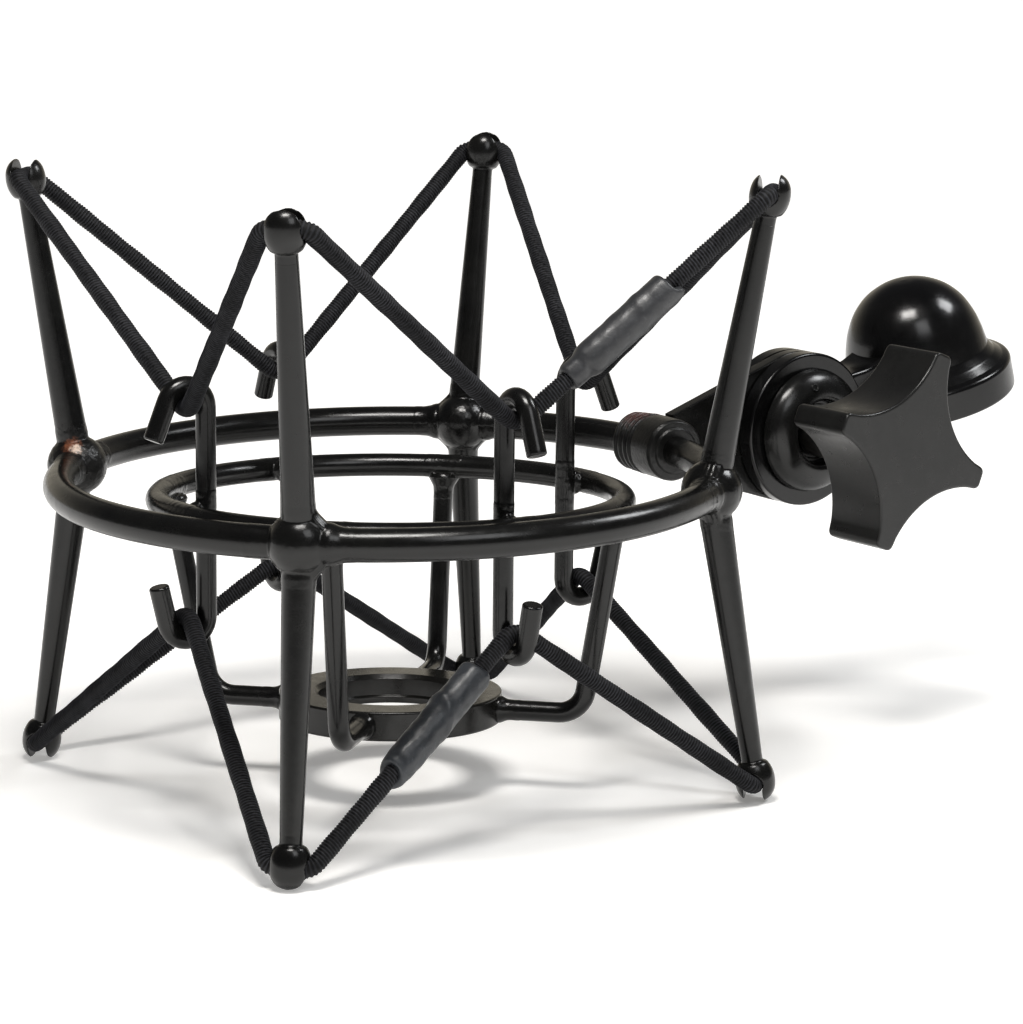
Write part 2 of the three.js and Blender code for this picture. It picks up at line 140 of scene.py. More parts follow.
# ---- Local spaces ----


def turn(degrees, axis):
    return Matrix.Rotation(math.radians(degrees), 4, axis)


low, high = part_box("outer_ring")
RING_SPACE = Matrix.Translation((low + high) / 2) @ Matrix.Scale(MM, 4)
CAGE_SPACE = RING_SPACE @ Matrix.Translation((CAGE_SET, 0, 0)) @ turn(-CAGE_TILT, "X")
HINGE = Vector(next(joint["pos_m"] for joint in frame["joints"] if joint["name"] == "stand_swivel"))
SWIVEL_SPACE = Matrix.Translation(HINGE) @ turn(ARM_AZIMUTH, "Z") @ Matrix.Scale(MM, 4)
STAND_SPACE = SWIVEL_SPACE @ turn(-STAND_LIFT, "Y")
ABOUT_Y = turn(90, "X")  # stands a lathed shape's axis along -Y

# ---- Camera, lights and floor ----


def add_camera():
    """A long lens a little above the ring, looking just past its axis."""
    distance, elevation, azimuth = 0.55617, 10.892, 14.3077
    yaw, pitch, roll = 2.035, -0.5913, 0.4443
    aim = RING_SPACE.translation
    level = turn(azimuth, "Z")
    offset = Vector((0, -distance, 0))
    offset.rotate(turn(-elevation, "X").to_euler())
    place = aim + level @ offset
    forward = (aim - place).normalized()
    right = level @ Vector((1, 0, 0))
    up = right.cross(forward)
    swing = Matrix.Rotation(math.radians(-yaw), 3, up)
    forward, right = swing @ forward, swing @ right
    nod = Matrix.Rotation(math.radians(pitch), 3, right)
    forward, up = nod @ forward, nod @ up
    lean = Matrix.Rotation(math.radians(roll), 3, forward)
    right, up = lean @ right, lean @ up
    data = bpy.data.cameras.new("camera")
    data.sensor_fit = "HORIZONTAL"
    data.sensor_width = 36
    data.lens = 121.76
    data.clip_end = 20
    camera = bpy.data.objects.new("camera", data)
    turned = Matrix((right, up, -forward)).transposed().to_4x4()
    camera.matrix_world = Matrix.Translation(place) @ turned
    bpy.context.scene.collection.objects.link(camera)
    bpy.context.scene.camera = camera
    return right, up, -forward


def add_softbox(name, place, aim, size, radiance, tint):
    """A rectangular area light whose face has the radiance given."""
    data = bpy.data.lights.new(name, "AREA")
    data.shape = "RECTANGLE"
    data.size, data.size_y = size
    data.energy = radiance * math.pi * size[0] * size[1]
    data.color = tint
    lamp = bpy.data.objects.new(name, data)
    lamp.location = place
    lamp.rotation_euler = (Vector(aim) - Vector(place)).to_track_quat("-Z", "Y").to_euler()
    bpy.context.scene.collection.objects.link(lamp)


class NodeTree:
    """The nodes that the world and the materials have in common."""

    def __init__(self, owner):
        owner.use_nodes = True
        self.tree = owner.node_tree

    def node(self, kind, **settings):
        made = self.tree.nodes.new(kind)
        for key, value in settings.items():
            setattr(made, key, value)
        return made

    def link(self, source, target):
        self.tree.links.new(source, target)

    def spread(self, value, low, high, to_low=0, to_high=1):
        made = self.node("ShaderNodeMapRange")
        self.link(value, made.inputs["Value"])
        made.inputs["From Min"].default_value = low
        made.inputs["From Max"].default_value = high
        made.inputs["To Min"].default_value = to_low
        made.inputs["To Max"].default_value = to_high
        return made.outputs["Result"]

    def mix(self, factor, first, second):
        """Blends two colours, each a tuple or a socket."""
        made = self.node("ShaderNodeMix", data_type="RGBA")
        self.link(factor, made.inputs["Factor"])
        for socket, colour in ((made.inputs[6], first), (made.inputs[7], second)):
            if isinstance(colour, tuple):
                socket.default_value = (*colour, 1)
            else:
                self.link(colour, socket)
        return made.outputs[2]

    def maths(self, operation, first, second):
        made = self.node("ShaderNodeMath", operation=operation)
        self.link(first, made.inputs[0])
        self.link(second, made.inputs[1])
        return made.outputs[0]


def studio_world(backdrop):
    """A dim room with a pale backdrop low down in the direction given."""
    world = bpy.data.worlds.new("studio")
    sky = NodeTree(world)
    direction = sky.node("ShaderNodeTexCoord").outputs["Generated"]
    shares = []
    for axis, dark, pale in ((backdrop, 0.3, 0.85), (Vector((0, 0, 1)), 0.6, 0.15)):
        dot = sky.node("ShaderNodeVectorMath", operation="DOT_PRODUCT")
        dot.inputs[1].default_value = axis
        sky.link(direction, dot.inputs[0])
        shares.append(sky.spread(dot.outputs["Value"], dark, pale))
    share = sky.maths("MULTIPLY", *shares)
    colour = sky.mix(share, (0.08, 0.08, 0.083), (0.62, 0.57, 0.47))
    sky.link(colour, sky.tree.nodes["Background"].inputs["Color"])
    return world


def add_lights(right, up, back):
    """A warm key overhead, a cool side light, and a dim one near the camera."""
    centre = RING_SPACE.translation
    above = centre + Vector((0, 0, 0.31)) + 0.13 * back
    add_softbox("key", above, centre, (0.14, 0.09), 30, (1, 0.975, 0.94))
    side = centre + 0.29 * right + 0.27 * up - 0.02 * back
    add_softbox("side", side, centre, (0.1, 0.1), 16, (0.97, 0.985, 1))
    front = centre + 0.21 * back + 0.13 * right + Vector((0, 0, 0.16))
    add_softbox("front", front, centre, (0.12, 0.12), 3.6, (0.98, 0.99, 1))
    bpy.context.scene.world = studio_world(-back)
    bpy.context.scene.view_settings.view_transform = "Standard"


# ---- Materials ----


class Finish(NodeTree):
    """A Principled material whose textures are read in object coordinates, in metres."""

    def __init__(self, name):
        self.material = bpy.data.materials.new(name)
        super().__init__(self.material)
        self.shader = self.tree.nodes["Principled BSDF"]
        self.where = self.node("ShaderNodeTexCoord").outputs["Object"]
        self.height = None

    def noise(self, size, detail=3, roughness=0.55):
        """Noise with features of about that many millimetres."""
        made = self.node("ShaderNodeTexNoise")
        self.link(self.where, made.inputs["Vector"])
        made.inputs["Scale"].default_value = 1 / (size * MM)
        made.inputs["Detail"].default_value = detail
        made.inputs["Roughness"].default_value = roughness
        return made.outputs["Fac"]

    def near(self, point, reach):
        """1 at a point of the ring's space, falling to 0 at that many millimetres."""
        made = self.node("ShaderNodeVectorMath", operation="DISTANCE")
        self.link(self.where, made.inputs[0])
        made.inputs[1].default_value = RING_SPACE @ Vector(point)
        return self.spread(made.outputs["Value"], 0, reach * MM, 1, 0)

    def colour(self, value):
        self.link(value, self.shader.inputs["Base Color"])

    def roughness(self, value):
        self.link(value, self.shader.inputs["Roughness"])

    def bump(self, value, depth):
        """Relief of that many millimetres, laid over any bump added before it."""
        made = self.node("ShaderNodeBump")
        made.inputs["Strength"].default_value = 1
        made.inputs["Distance"].default_value = depth * MM
        self.link(value, made.inputs["Height"])
        if self.height:
            self.link(self.height, made.inputs["Normal"])
        self.height = made.outputs["Normal"]
        self.link(self.height, self.shader.inputs["Normal"])

    def set(self, **values):
        for key, value in values.items():
            self.shader.inputs[key.replace("_", " ")].default_value = value


def satin_paint(name, dark, pale, gloss):
    """Black paint: cloudy in tone and gloss, with a fine orange peel and a few dust specks."""
    finish = Finish(name)
    cloud = finish.noise(9, 4)
    base = finish.mix(finish.spread(cloud, 0.35, 0.65), dark, pale)
    speck = finish.spread(finish.noise(0.35, 2), 0.68, 0.76, 0, 0.5)
    dust = tuple(3.2 * part for part in pale)
    finish.colour(finish.mix(speck, base, dust))
    patches = finish.spread(finish.noise(2.2, 4), 0.3, 0.7, gloss - 0.04, gloss + 0.05)
    finish.roughness(patches)
    finish.bump(finish.noise(1.1, 3), 0.009)
    finish.bump(finish.noise(0.22, 2), 0.004)
    finish.set(Specular_IOR_Level=0.38)
    return finish


def worn_braze(name, spots, gloss=0.3):
    """Satin paint rubbed off in crumbs. A spot is a point on the frame, a reach and a colour."""
    finish = satin_paint(name, (0.002, 0.002, 0.002), (0.006, 0.006, 0.0055), gloss)
    base = finish.shader.inputs["Base Color"].links[0].from_socket
    crumbs = finish.noise(0.55, 5, 0.7)
    for point, reach, colour in spots:
        grain = finish.maths("MULTIPLY", finish.near(point, reach), crumbs)
        base = finish.mix(finish.spread(grain, 0.22, 0.36), base, colour)
    finish.colour(base)
    finish.bump(finish.noise(0.5, 4, 0.6), 0.08)
    return finish.material


def dark_steel():
    finish = Finish("bolt_steel")
    streaks = finish.noise(0.6, 4)
    finish.colour(finish.mix(streaks, (0.03, 0.03, 0.029), (0.075, 0.072, 0.068)))
    finish.roughness(finish.spread(streaks, 0.3, 0.7, 0.28, 0.42))
    finish.set(Metallic=0.9)
    finish.bump(finish.noise(0.3, 3), 0.01)
    return finish.material


def braided_cover():
    """Blue-black threads, worn pale in patches, with painted shade that makes them nearly black in the
    grooves between ribs.
    """
    finish = Finish("braid")
    threads = finish.noise(0.28, 3, 0.7)
    patches = finish.spread(finish.noise(5, 3), 0.35, 0.65)
    dull = finish.mix(threads, (0.004, 0.004, 0.005), (0.02, 0.021, 0.026))
    worn = finish.mix(threads, (0.007, 0.007, 0.009), (0.06, 0.062, 0.072))
    groove = finish.node("ShaderNodeAttribute", attribute_name="groove").outputs["Fac"]
    crest = finish.mix(patches, dull, worn)
    # Painted shade: the colour darkens to near black the deeper a point lies in a groove between ribs.
    depth = finish.spread(groove, 0.05, 0.6)
    finish.colour(finish.mix(depth, crest, (0.001, 0.001, 0.0014)))
    finish.roughness(finish.spread(threads, 0.2, 0.8, 0.5, 0.8))
    finish.bump(finish.noise(0.2, 2, 0.6), 0.05)
    finish.set(Sheen_Weight=0.02, Sheen_Roughness=0.4, Specular_IOR_Level=0.22)
    return finish.material


def shrink_tube(name, dark, pale):
    """Grey heat-shrink: smooth and waxy, dented and scuffed."""
    finish = Finish(name)
    cloud = finish.spread(finish.noise(3.5, 4), 0.3, 0.7)
    base = finish.mix(cloud, dark, pale)
    scuff = finish.spread(finish.noise(0.9, 6, 0.75), 0.55, 0.72, 0, 0.5)
    finish.colour(finish.mix(scuff, base, tuple(2.4 * part for part in pale)))
    finish.roughness(finish.spread(finish.noise(1.3, 4), 0.3, 0.7, 0.3, 0.5))
    finish.bump(finish.noise(1.6, 3), 0.07)
    finish.bump(finish.noise(0.25, 2), 0.012)
    return finish.material


def pale_floor():
    """White paper that glows a little, more so far from the object."""
    finish = Finish("floor")
    cloud = finish.noise(80, 2)
    finish.colour(finish.mix(cloud, (0.93, 0.925, 0.91), (0.95, 0.945, 0.935)))
    finish.roughness(finish.spread(cloud, 0, 1, 0.7, 0.8))
    finish.set(Specular_IOR_Level=0.2, Emission_Color=(1, 0.99, 0.97, 1))
    far = finish.node("ShaderNodeVectorMath", operation="LENGTH")
    finish.link(finish.where, far.inputs[0])
    near_glow = finish.spread(far.outputs["Value"], 0.06, 0.14, 0.2, 0.78)
    far_glow = finish.spread(far.outputs["Value"], 0.15, 0.5, 0, 0.22)
    glow = finish.maths("ADD", near_glow, far_glow)
    finish.link(glow, finish.shader.inputs["Emission Strength"])
    return finish.material


# ---- Mesh helpers ----


def link_mesh(name, vertices, faces):
    mesh = bpy.data.meshes.new(name)
    mesh.from_pydata(vertices, [], faces)
    work = bmesh.new()
    work.from_mesh(mesh)
    bmesh.ops.remove_doubles(work, verts=work.verts, dist=1e-7)
    bmesh.ops.recalc_face_normals(work, faces=work.faces)
    work.to_mesh(mesh)
    work.free()
    obj = bpy.data.objects.new(name, mesh)
    bpy.context.scene.collection.objects.link(obj)
    return obj


def solid(name, space, *skins):
    """A mesh of closed skins. A skin is (rings, looped), its rings in the space's millimetres."""
    vertices, faces = [], []
    rotation = np.array(space.to_3x3())
    origin = np.array(space.translation)
    for rings, looped in skins:
        rings = np.asarray(rings, float)
        count, size = rings.shape[:2]
        index = len(vertices) + np.arange(count * size).reshape(count, size)
        vertices.extend((rings.reshape(-1, 3) @ rotation.T + origin).tolist())
        for step in range(count if looped else count - 1):
            here = index[step]
            there = index[(step + 1) % count]
            quads = np.stack([here, np.roll(here, -1), np.roll(there, -1), there], 1)
            faces.extend(quads.tolist())
        if not looped:
            faces.append(index[0][::-1].tolist())
            faces.append(index[-1].tolist())
    return link_mesh(name, vertices, faces)


def apply_modifiers(obj):
    graph = bpy.context.evaluated_depsgraph_get()
    mesh = bpy.data.meshes.new_from_object(obj.evaluated_get(graph), depsgraph=graph)
    obj.modifiers.clear()
    old = obj.data
    obj.data = mesh
    bpy.data.meshes.remove(old)
    return obj


def discard(obj):
    mesh = obj.data
    bpy.data.objects.remove(obj)
    bpy.data.meshes.remove(mesh)


def combine(obj, other, operation):
    """Cuts the other solid from obj or joins it on, and uses it up."""
    step = obj.modifiers.new(operation, "BOOLEAN")
    step.operation = operation
    step.solver = "EXACT"
    step.object = other
    apply_modifiers(obj)
    discard(other)


def fuse(obj, voxel, rounds):
    """Melts overlapping skins into one and softens the corners between them."""
    melt = obj.modifiers.new("melt", "REMESH")
    melt.mode = "VOXEL"
    melt.voxel_size = voxel * MM
    soften = obj.modifiers.new("soften", "SMOOTH")
    soften.factor = 0.5
    soften.iterations = rounds
    return apply_modifiers(obj)


def roughen(obj, size, depth):
    """Pushes the surface in and out by noise of about that size."""
    vertices = obj.data.vertices
    normals = [vertex.normal.copy() for vertex in vertices]
    for vertex, normal in zip(vertices, normals):
        vertex.co += normal * noise.fractal(vertex.co / (size * MM), 1, 2, 3) * depth * MM


def merge(obj, other):
    """Puts another object's mesh into obj's, as it is."""
    work = bmesh.new()
    work.from_mesh(obj.data)
    work.from_mesh(other.data)
    work.to_mesh(obj.data)
    work.free()
    discard(other)


def dress(obj, material, nodes=(), sharp=38, crisp=False):
    """Finishes a piece. A crisp one keeps its flat faces flat beside rounded edges."""
    mesh = obj.data
    mesh.materials.clear()
    mesh.materials.append(material)
    mesh.polygons.foreach_set("use_smooth", [True] * len(mesh.polygons))
    mesh.set_sharp_from_angle(angle=math.radians(sharp))
    if crisp:
        even = obj.modifiers.new("even", "WEIGHTED_NORMAL")
        even.keep_sharp = True
    if nodes:
        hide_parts(*nodes)


# ---- Shape helpers, in local millimetres ----


def polar(radius, degrees, height=0.0):
    angle = math.radians(degrees)
    return np.array([radius * math.cos(angle), radius * math.sin(angle), height])


def unit(vector):
    return vector / np.linalg.norm(vector)


def units(vectors):
    return vectors / np.linalg.norm(vectors, axis=1)[:, None]


def rotated(vector, axis, angle):
    cosine, sine = math.cos(angle), math.sin(angle)
    return vector * cosine + np.cross(axis, vector) * sine + axis * np.dot(axis, vector) * (1 - cosine)


def circle(sides):
    return 2 * math.pi * np.arange(sides) / sides


class Route:
    """A centreline of straights and arcs, sampled at an even step."""

    def __init__(self, start, heading, step):
        self.points = [np.array(start, float)]
        self.heading = unit(np.array(heading, float))
        self.step = step

    def forward(self, length):
        start = self.points[-1]
        count = max(1, round(length / self.step))
        for index in range(1, count + 1):
            self.points.append(start + self.heading * length * index / count)

    def bend(self, radius, axis, angle):
        """Turns about an axis by an angle in radians, positive by the right-hand rule."""
        start = self.points[-1]
        side = np.cross(axis, self.heading)
        centre = start + side * math.copysign(radius, angle)
        spoke = start - centre
        count = max(3, round(radius * abs(angle) / self.step))
        for index in range(1, count + 1):
            self.points.append(centre + rotated(spoke, axis, angle * index / count))
        self.heading = rotated(self.heading, axis, angle)


def frames(points, looped=False):
    """Two directions across the line at each point, carried along it without twist."""
    points = np.asarray(points)
    ahead = np.roll(points, -1, 0) - points
    behind = points - np.roll(points, 1, 0)
    if not looped:
        ahead[-1] = behind[-1]
        behind[0] = ahead[0]
    tangents = units(ahead + behind)
    guide = np.array([0, 0, 1.0])
    if abs(tangents[0] @ guide) > 0.9:
        guide = np.array([1.0, 0, 0])
    across = []
    for tangent in tangents:
        guide = unit(guide - tangent * (guide @ tangent))
        across.append(guide)
    across = np.array(across)
    return across, np.cross(tangents, across)


def tube(points, radii, sides=24, looped=False):
    """A round skin along a line. Radii are one number, one a point, or one a point and side."""
    points = np.asarray(points, float)
    across, beside = frames(points, looped)
    angles = circle(sides)
    radii = np.asarray(radii, float)
    if radii.ndim < 2:
        radii = np.broadcast_to(radii.reshape(-1, 1), (len(points), sides))
    ring = across[:, None] * np.cos(angles)[None, :, None]
    ring = ring + beside[:, None] * np.sin(angles)[None, :, None]
    return points[:, None] + ring * radii[:, :, None], looped


def lathe(profile, segments=64, space=None, looped=False):
    """Turns a profile of (radius, height) about Z, then moves it by a matrix in millimetres."""
    profile = np.asarray(profile, float)
    angles = circle(segments)
    rings = np.empty((len(profile), segments, 3))
    rings[:, :, 0] = profile[:, :1] * np.cos(angles)
    rings[:, :, 1] = profile[:, :1] * np.sin(angles)
    rings[:, :, 2] = profile[:, 1:]
    return moved(rings, space), looped


def moved(rings, space):
    if space is None:
        return rings
    return rings @ np.array(space.to_3x3()).T + np.array(space.translation)


def rounded(corners, closed=False, steps=5):
    """A profile through corners (x, y, fillet), each fillet drawn as a short curve."""
    corners = [np.array(corner, float) for corner in corners]
    last = len(corners) - 1
    profile = []
    for index, corner in enumerate(corners):
        place, fillet = corner[:2], corner[2]
        if fillet == 0 or (not closed and index in (0, last)):
            profile.append(place)
            continue
        back = corners[index - 1][:2] - place
        on = corners[(index + 1) % len(corners)][:2] - place
        angle = math.acos(np.clip(unit(back) @ unit(on), -1, 1))
        reach = fillet / math.tan(angle / 2)
        reach = min(reach, 0.48 * np.linalg.norm(back), 0.48 * np.linalg.norm(on))
        start, end = place + unit(back) * reach, place + unit(on) * reach
        for step in range(steps + 1):
            share = step / steps
            profile.append((1 - share) ** 2 * start + 2 * share * (1 - share) * place + share ** 2 * end)
    return np.array(profile)


def curved(points, steps=8):
    """A smooth curve through points, each a tuple of any length."""
    points = np.array(points, float)
    ends = np.vstack([2 * points[0] - points[1], points, 2 * points[-1] - points[-2]])
    curve = []
    for index in range(len(points) - 1):
        before, here, there, after = ends[index:index + 4]
        for step in range(steps):
            share = step / steps
            curve.append(0.5 * (2 * here + (there - before) * share
                                + (2 * before - 5 * here + 4 * there - after) * share ** 2
                                + (3 * here - before - 3 * there + after) * share ** 3))
    curve.append(points[-1])
    return np.array(curve)


FACE_BORDER = 0.2  # a narrow band that keeps a slab's faces flat up to their edges


def slab(outline, low, high, edge, steps=4):
    """A plate in X and Z with thickness along Y and rounded edges."""
    outline = np.asarray(outline, float)
    ahead = np.roll(outline, -1, 0) - outline
    behind = outline - np.roll(outline, 1, 0)
    along = units(units(ahead) + units(behind))
    area = np.sum(outline[:, 0] * ahead[:, 1] - outline[:, 1] * ahead[:, 0])
    inward = np.stack([-along[:, 1], along[:, 0]], 1) * math.copysign(1, area)
    rings = []
    angles = [math.pi / 2 * step / steps for step in range(steps + 1)]
    insets = [edge + FACE_BORDER] + [edge * (1 - math.sin(angle)) for angle in angles]
    depths = [0] + [edge * (1 - math.cos(angle)) for angle in angles]
    layers = [(low + depth, inset) for depth, inset in zip(depths, insets)]
    layers += [(high - depth, inset) for depth, inset in zip(depths[::-1], insets[::-1])]
    for depth, inset in layers:
        flat = outline + inward * inset
        rings.append(np.stack([flat[:, 0], np.full(len(flat), depth), flat[:, 1]], 1))
    middle = np.ones((len(outline), 1)) * rings[0].mean(0)
    rings.insert(0, middle)
    rings.append(middle + (0, high - low, 0))
    return np.array(rings), False


def arc(centre, radius, start, end, count):
    angles = np.linspace(start, end, count)
    return [tuple(np.array(centre) + polar(radius, angle)[:2]) for angle in angles]


def ball(centre, radii, segments=32):
    """An ellipsoid skin about a centre."""
    heights = np.linspace(-math.pi / 2, math.pi / 2, segments // 2 + 1)
    profile = np.stack([np.cos(heights), np.sin(heights)], 1)
    rings, looped = lathe(profile, segments)
    return rings * np.broadcast_to(np.array(radii, float), 3) + np.asarray(centre, float), looped


def ring_arc(radius, degrees, height, reach, count=25):
    """Points along a horizontal ring, that far each side of a direction."""
    spread = math.degrees(reach / radius)
    angles = np.linspace(degrees - spread, degrees + spread, count)
    return [polar(radius, angle, height) for angle in angles]


# ---- Elastic ----

CAGE_IN_RING = RING_SPACE.inverted() @ CAGE_SPACE


def tip_centre(quarter, side):
    tip = polar(TIP_RADIUS, 90 * quarter, side * TIP_HEIGHT)
    if side > 0:
        tip[0] += TIP_SET[quarter]
    return tip


def turning_points(side):
    """Where the elastic turns: both sides of each tip, then the crown of the next hook."""
    turns = []
    crown = (HOOK_TOP - CROOK) if side > 0 else (HOOK_BOTTOM + CROOK)
    for quarter in range(4):
        for offset in (-SADDLE_HALF, SADDLE_HALF):
            turns.append((tip_centre(quarter, side) + polar(offset, 90 * quarter + 90), TIP_BEND))
        inside = CROOK - HOOK_ROD - CORD - HOOK_GAP
        apex = Vector(polar(HOOK_LINE + CROOK, 45 + 90 * quarter, crown + side * inside))
        turns.append((np.array(CAGE_IN_RING @ apex), HOOK_ROD + CORD + 0.3))
    return turns


def corner_points(turns):
    """Corners of the straight stretches, found so that each bend just reaches its turning point."""
    points = [apex for apex, _ in turns]
    for _ in range(12):
        settled = []
        for index, (apex, radius) in enumerate(turns):
            here = points[index]
            before = unit(points[index - 1] - here)
            after = unit(points[(index + 1) % len(points)] - here)
            half_turn = math.pi / 2 - math.acos(np.clip(before @ after, -1, 1)) / 2
            beyond = radius / math.cos(half_turn) - radius
            settled.append(apex - unit(before + after) * beyond)
        points = settled
    return points


def elastic_route(side, first, fraction, step):
    """The elastic's centreline, from inside its sleeve right round and back."""
    turns = turning_points(side)
    points = corner_points(turns)
    count = len(points)
    start = points[first] + (points[(first + 1) % count] - points[first]) * fraction
    route = Route(start, points[(first + 1) % count] - points[first], step)
    for offset in range(1, count + 1):
        index = (first + offset) % count
        here = points[index]
        arriving = unit(here - points[index - 1])
        leaving = unit(points[(index + 1) % count] - here)
        angle = math.acos(np.clip(arriving @ leaving, -1, 1))
        radius = turns[index][1]
        setback = radius * math.tan(angle / 2)
        route.forward(np.linalg.norm(here - arriving * setback - route.points[-1]))
        route.bend(radius, unit(np.cross(arriving, leaving)), angle)
    route.forward(np.linalg.norm(start - route.points[-1]))
    return np.array(route.points), points[first], points[(first + 1) % count]


def ribbed_cord(points):
    """The braid's ribs run round the cord at a slight slant, and the cord is never quite even."""
    sides = 20
    lengths = np.concatenate([[0], np.cumsum(np.linalg.norm(np.diff(points, axis=0), axis=1))])
    angles = circle(sides)
    slant = 2 * math.pi * lengths[:, None] / RIB_PITCH + angles[None, :]
    wobble = 0.035 * np.sin(lengths / 2.3) + 0.03 * np.sin(lengths / 0.9 + 1)
    cross = 0.25 * np.cos(6 * angles[None, :] + 4 * lengths[:, None])
    groove = (0.5 - 0.5 * np.cos(slant)) * (1 + cross)
    radii = CORD + wobble[:, None] - RIB_DEPTH * groove
    # groove, the rib depth at each point, is also handed on to paint shade into the grooves.
    return tube(points, radii, sides), groove.ravel()


FRONT_RIGHT_HOOK = 11
FRONT_TIP = 10
RIB_STEP = RIB_PITCH / 4
UPPER_ROUTE = elastic_route(1, FRONT_RIGHT_HOOK, (UPPER_SLEEVE[0] + UPPER_SLEEVE[1]) / 2, RIB_STEP)
LOWER_ROUTE = elastic_route(-1, FRONT_TIP, (LOWER_SLEEVE[0] + LOWER_SLEEVE[1]) / 2, RIB_STEP)


def hang(obj):
    """Writes a piece's placement into its mesh; the piece already runs between the strut tips, on the
    frame, and the hooks, on the cage.
    """
    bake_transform(obj)


def sleeve_skin(first, second, size, lumps, narrow, cut, ridge):
    """Heat-shrink along a stretch: lumpy, stepped narrower at its first end, cut slantwise."""
    start, end, radius = size
    span = np.linalg.norm(second - first)
    length = (end - start) * span
    origin = first + (second - first) * start
    heading = unit(second - first)
    count, sides = 150, 48
    shares = np.linspace(0, 1, count)
    angles = circle(sides)
    across, beside = frames([origin, origin + heading])
    across, beside = across[0], beside[0]
    outer = np.empty((count, sides, 3))
    inner = np.empty((count, sides, 3))
    for index, share in enumerate(shares):
        for side, angle in enumerate(angles):
            out = across * math.cos(angle) + beside * math.sin(angle)
            along = share * length
            slant = cut[0] * math.cos(angle - cut[1]) * max(0, 1 - share * 4)
            torn = cut[2] * math.exp(-((angle - cut[3]) / 0.45) ** 2) * max(0, share * 5 - 4)
            fine = noise.noise(Vector((along * 0.55, 1.6 * math.cos(angle), 1.6 * math.sin(angle))))
            step = narrow[1] / (1 + math.exp((along - narrow[0]) * 3.2))
            crest = ridge[0] * math.exp(-((along - ridge[1] - ridge[2] * math.cos(angle)) / 0.9) ** 2)
            rim = 0.35 * (math.exp(-share * length / 0.25) + math.exp(-(1 - share) * length / 0.25))
            skin = radius + lumps * fine - step + crest - rim
            place = origin + heading * (along + slant + torn)
            outer[index, side] = place + out * skin
            inner[index, side] = place + out * (CORD - 0.12)
    return np.concatenate([outer, inner[::-1]]), True


def build_cord(level, route):
    skin, groove = ribbed_cord(route[0])
    cord = solid(f"braided_elastic_{level}", RING_SPACE, skin)
    # The groove attribute carries the painted shade in the braid's grooves.
    cord.data.attributes.new("groove", "FLOAT", "POINT").data.foreach_set("value", groove)
    dress(cord, BRAID, [f"elastic_{level}"], sharp=80)
    hang(cord)


def build_sleeve(level, skin, material):
    sleeve = solid(f"shrink_sleeve_{level}", RING_SPACE, skin)
    dress(sleeve, material, [f"sleeve_{level}"], sharp=60)
    hang(sleeve)


def build_elastic():
    build_cord("upper", UPPER_ROUTE)
    build_cord("lower", LOWER_ROUTE)
    upper = sleeve_skin(*UPPER_ROUTE[1:], UPPER_SLEEVE, 0.09,
                        narrow=(3.6, 0.6), cut=(0.3, 1, 1.3, 2.2), ridge=(0.12, 15, 1))
    build_sleeve("upper", upper, SHRINK_PALE)
    lower = sleeve_skin(*LOWER_ROUTE[1:], LOWER_SLEEVE, 0.14,
                        narrow=(1.8, 0.25), cut=(1.1, 0.4, 0.4, 1.5), ridge=(0.3, 12, 2.4))
    build_sleeve("lower", lower, SHRINK_DARK)


# ---- Outer frame ----


def strut_line(quarter, side):
    foot = polar(RING_RADIUS, 90 * quarter)
    tip = tip_centre(quarter, side)
    return foot, unit(tip - foot), np.linalg.norm(tip - foot)


def strut_radius(distance, reach):
    share = (distance - NODE_BALL) / (reach - 3.6 - NODE_BALL)
    return STRUT_THICK + (STRUT_THIN - STRUT_THICK) * min(max(share, 0), 1)


def along(start, direction):
    """A matrix that stands Z along a direction at a point, in millimetres."""
    turned = Vector(direction).to_track_quat("Z", "X").to_matrix().to_4x4()
    return Matrix.Translation(Vector(start)) @ turned


def tip_head(name, quarter, side, route, foot, axis, reach):
    """The acorn at a strut's end, slotted from above for the elastic."""
    neck = strut_radius(reach - 4, reach)
    profile = curved([
        (neck, reach - 3.15), (2.45, reach - 2.75), (TIP_BALL * 0.95, reach - 1.5),
        (TIP_BALL * 1.01, reach), (TIP_BALL * 0.93, reach + 1.6), (TIP_BALL * 0.68, reach + 2.8),
        (TIP_BALL * 0.3, reach + TIP_END - 0.12), (0, reach + TIP_END),
    ], 6)
    profile = np.vstack([[0, reach - 6], [neck - 0.15, reach - 6], [neck, reach - 5], profile])
    head = solid(name, RING_SPACE, lathe(profile, 48, along(foot, axis)))
    half = SLOT_WIDTH / 2
    bed = CORD * 0.55
    outline = [(half + 0.5, 6), (half + 0.15, 2.6), (half, 0)]
    outline += arc((0, -bed + half), half, 0, -180, 13)
    outline += [(-half, 0), (-half - 0.15, 2.6), (-half - 0.5, 6)]
    rings, looped = slab(outline, -6, 6, 0.01, 1)
    rings[:, :, 2] *= side
    centre = Matrix.Translation(Vector(tip_centre(quarter, side)))
    slot = solid("slot", RING_SPACE, (moved(rings, centre @ turn(90 * quarter, "Z")), looped))
    combine(head, slot, "DIFFERENCE")
    nearby = np.linalg.norm(route - tip_centre(quarter, side), axis=1) < 7
    index = np.flatnonzero(nearby)
    groove = solid("groove", RING_SPACE, tube(route[index[0]:index[-1] + 1:4], CORD + 0.05, 20))
    combine(head, groove, "DIFFERENCE")
    return fuse(head, 0.13, 5)


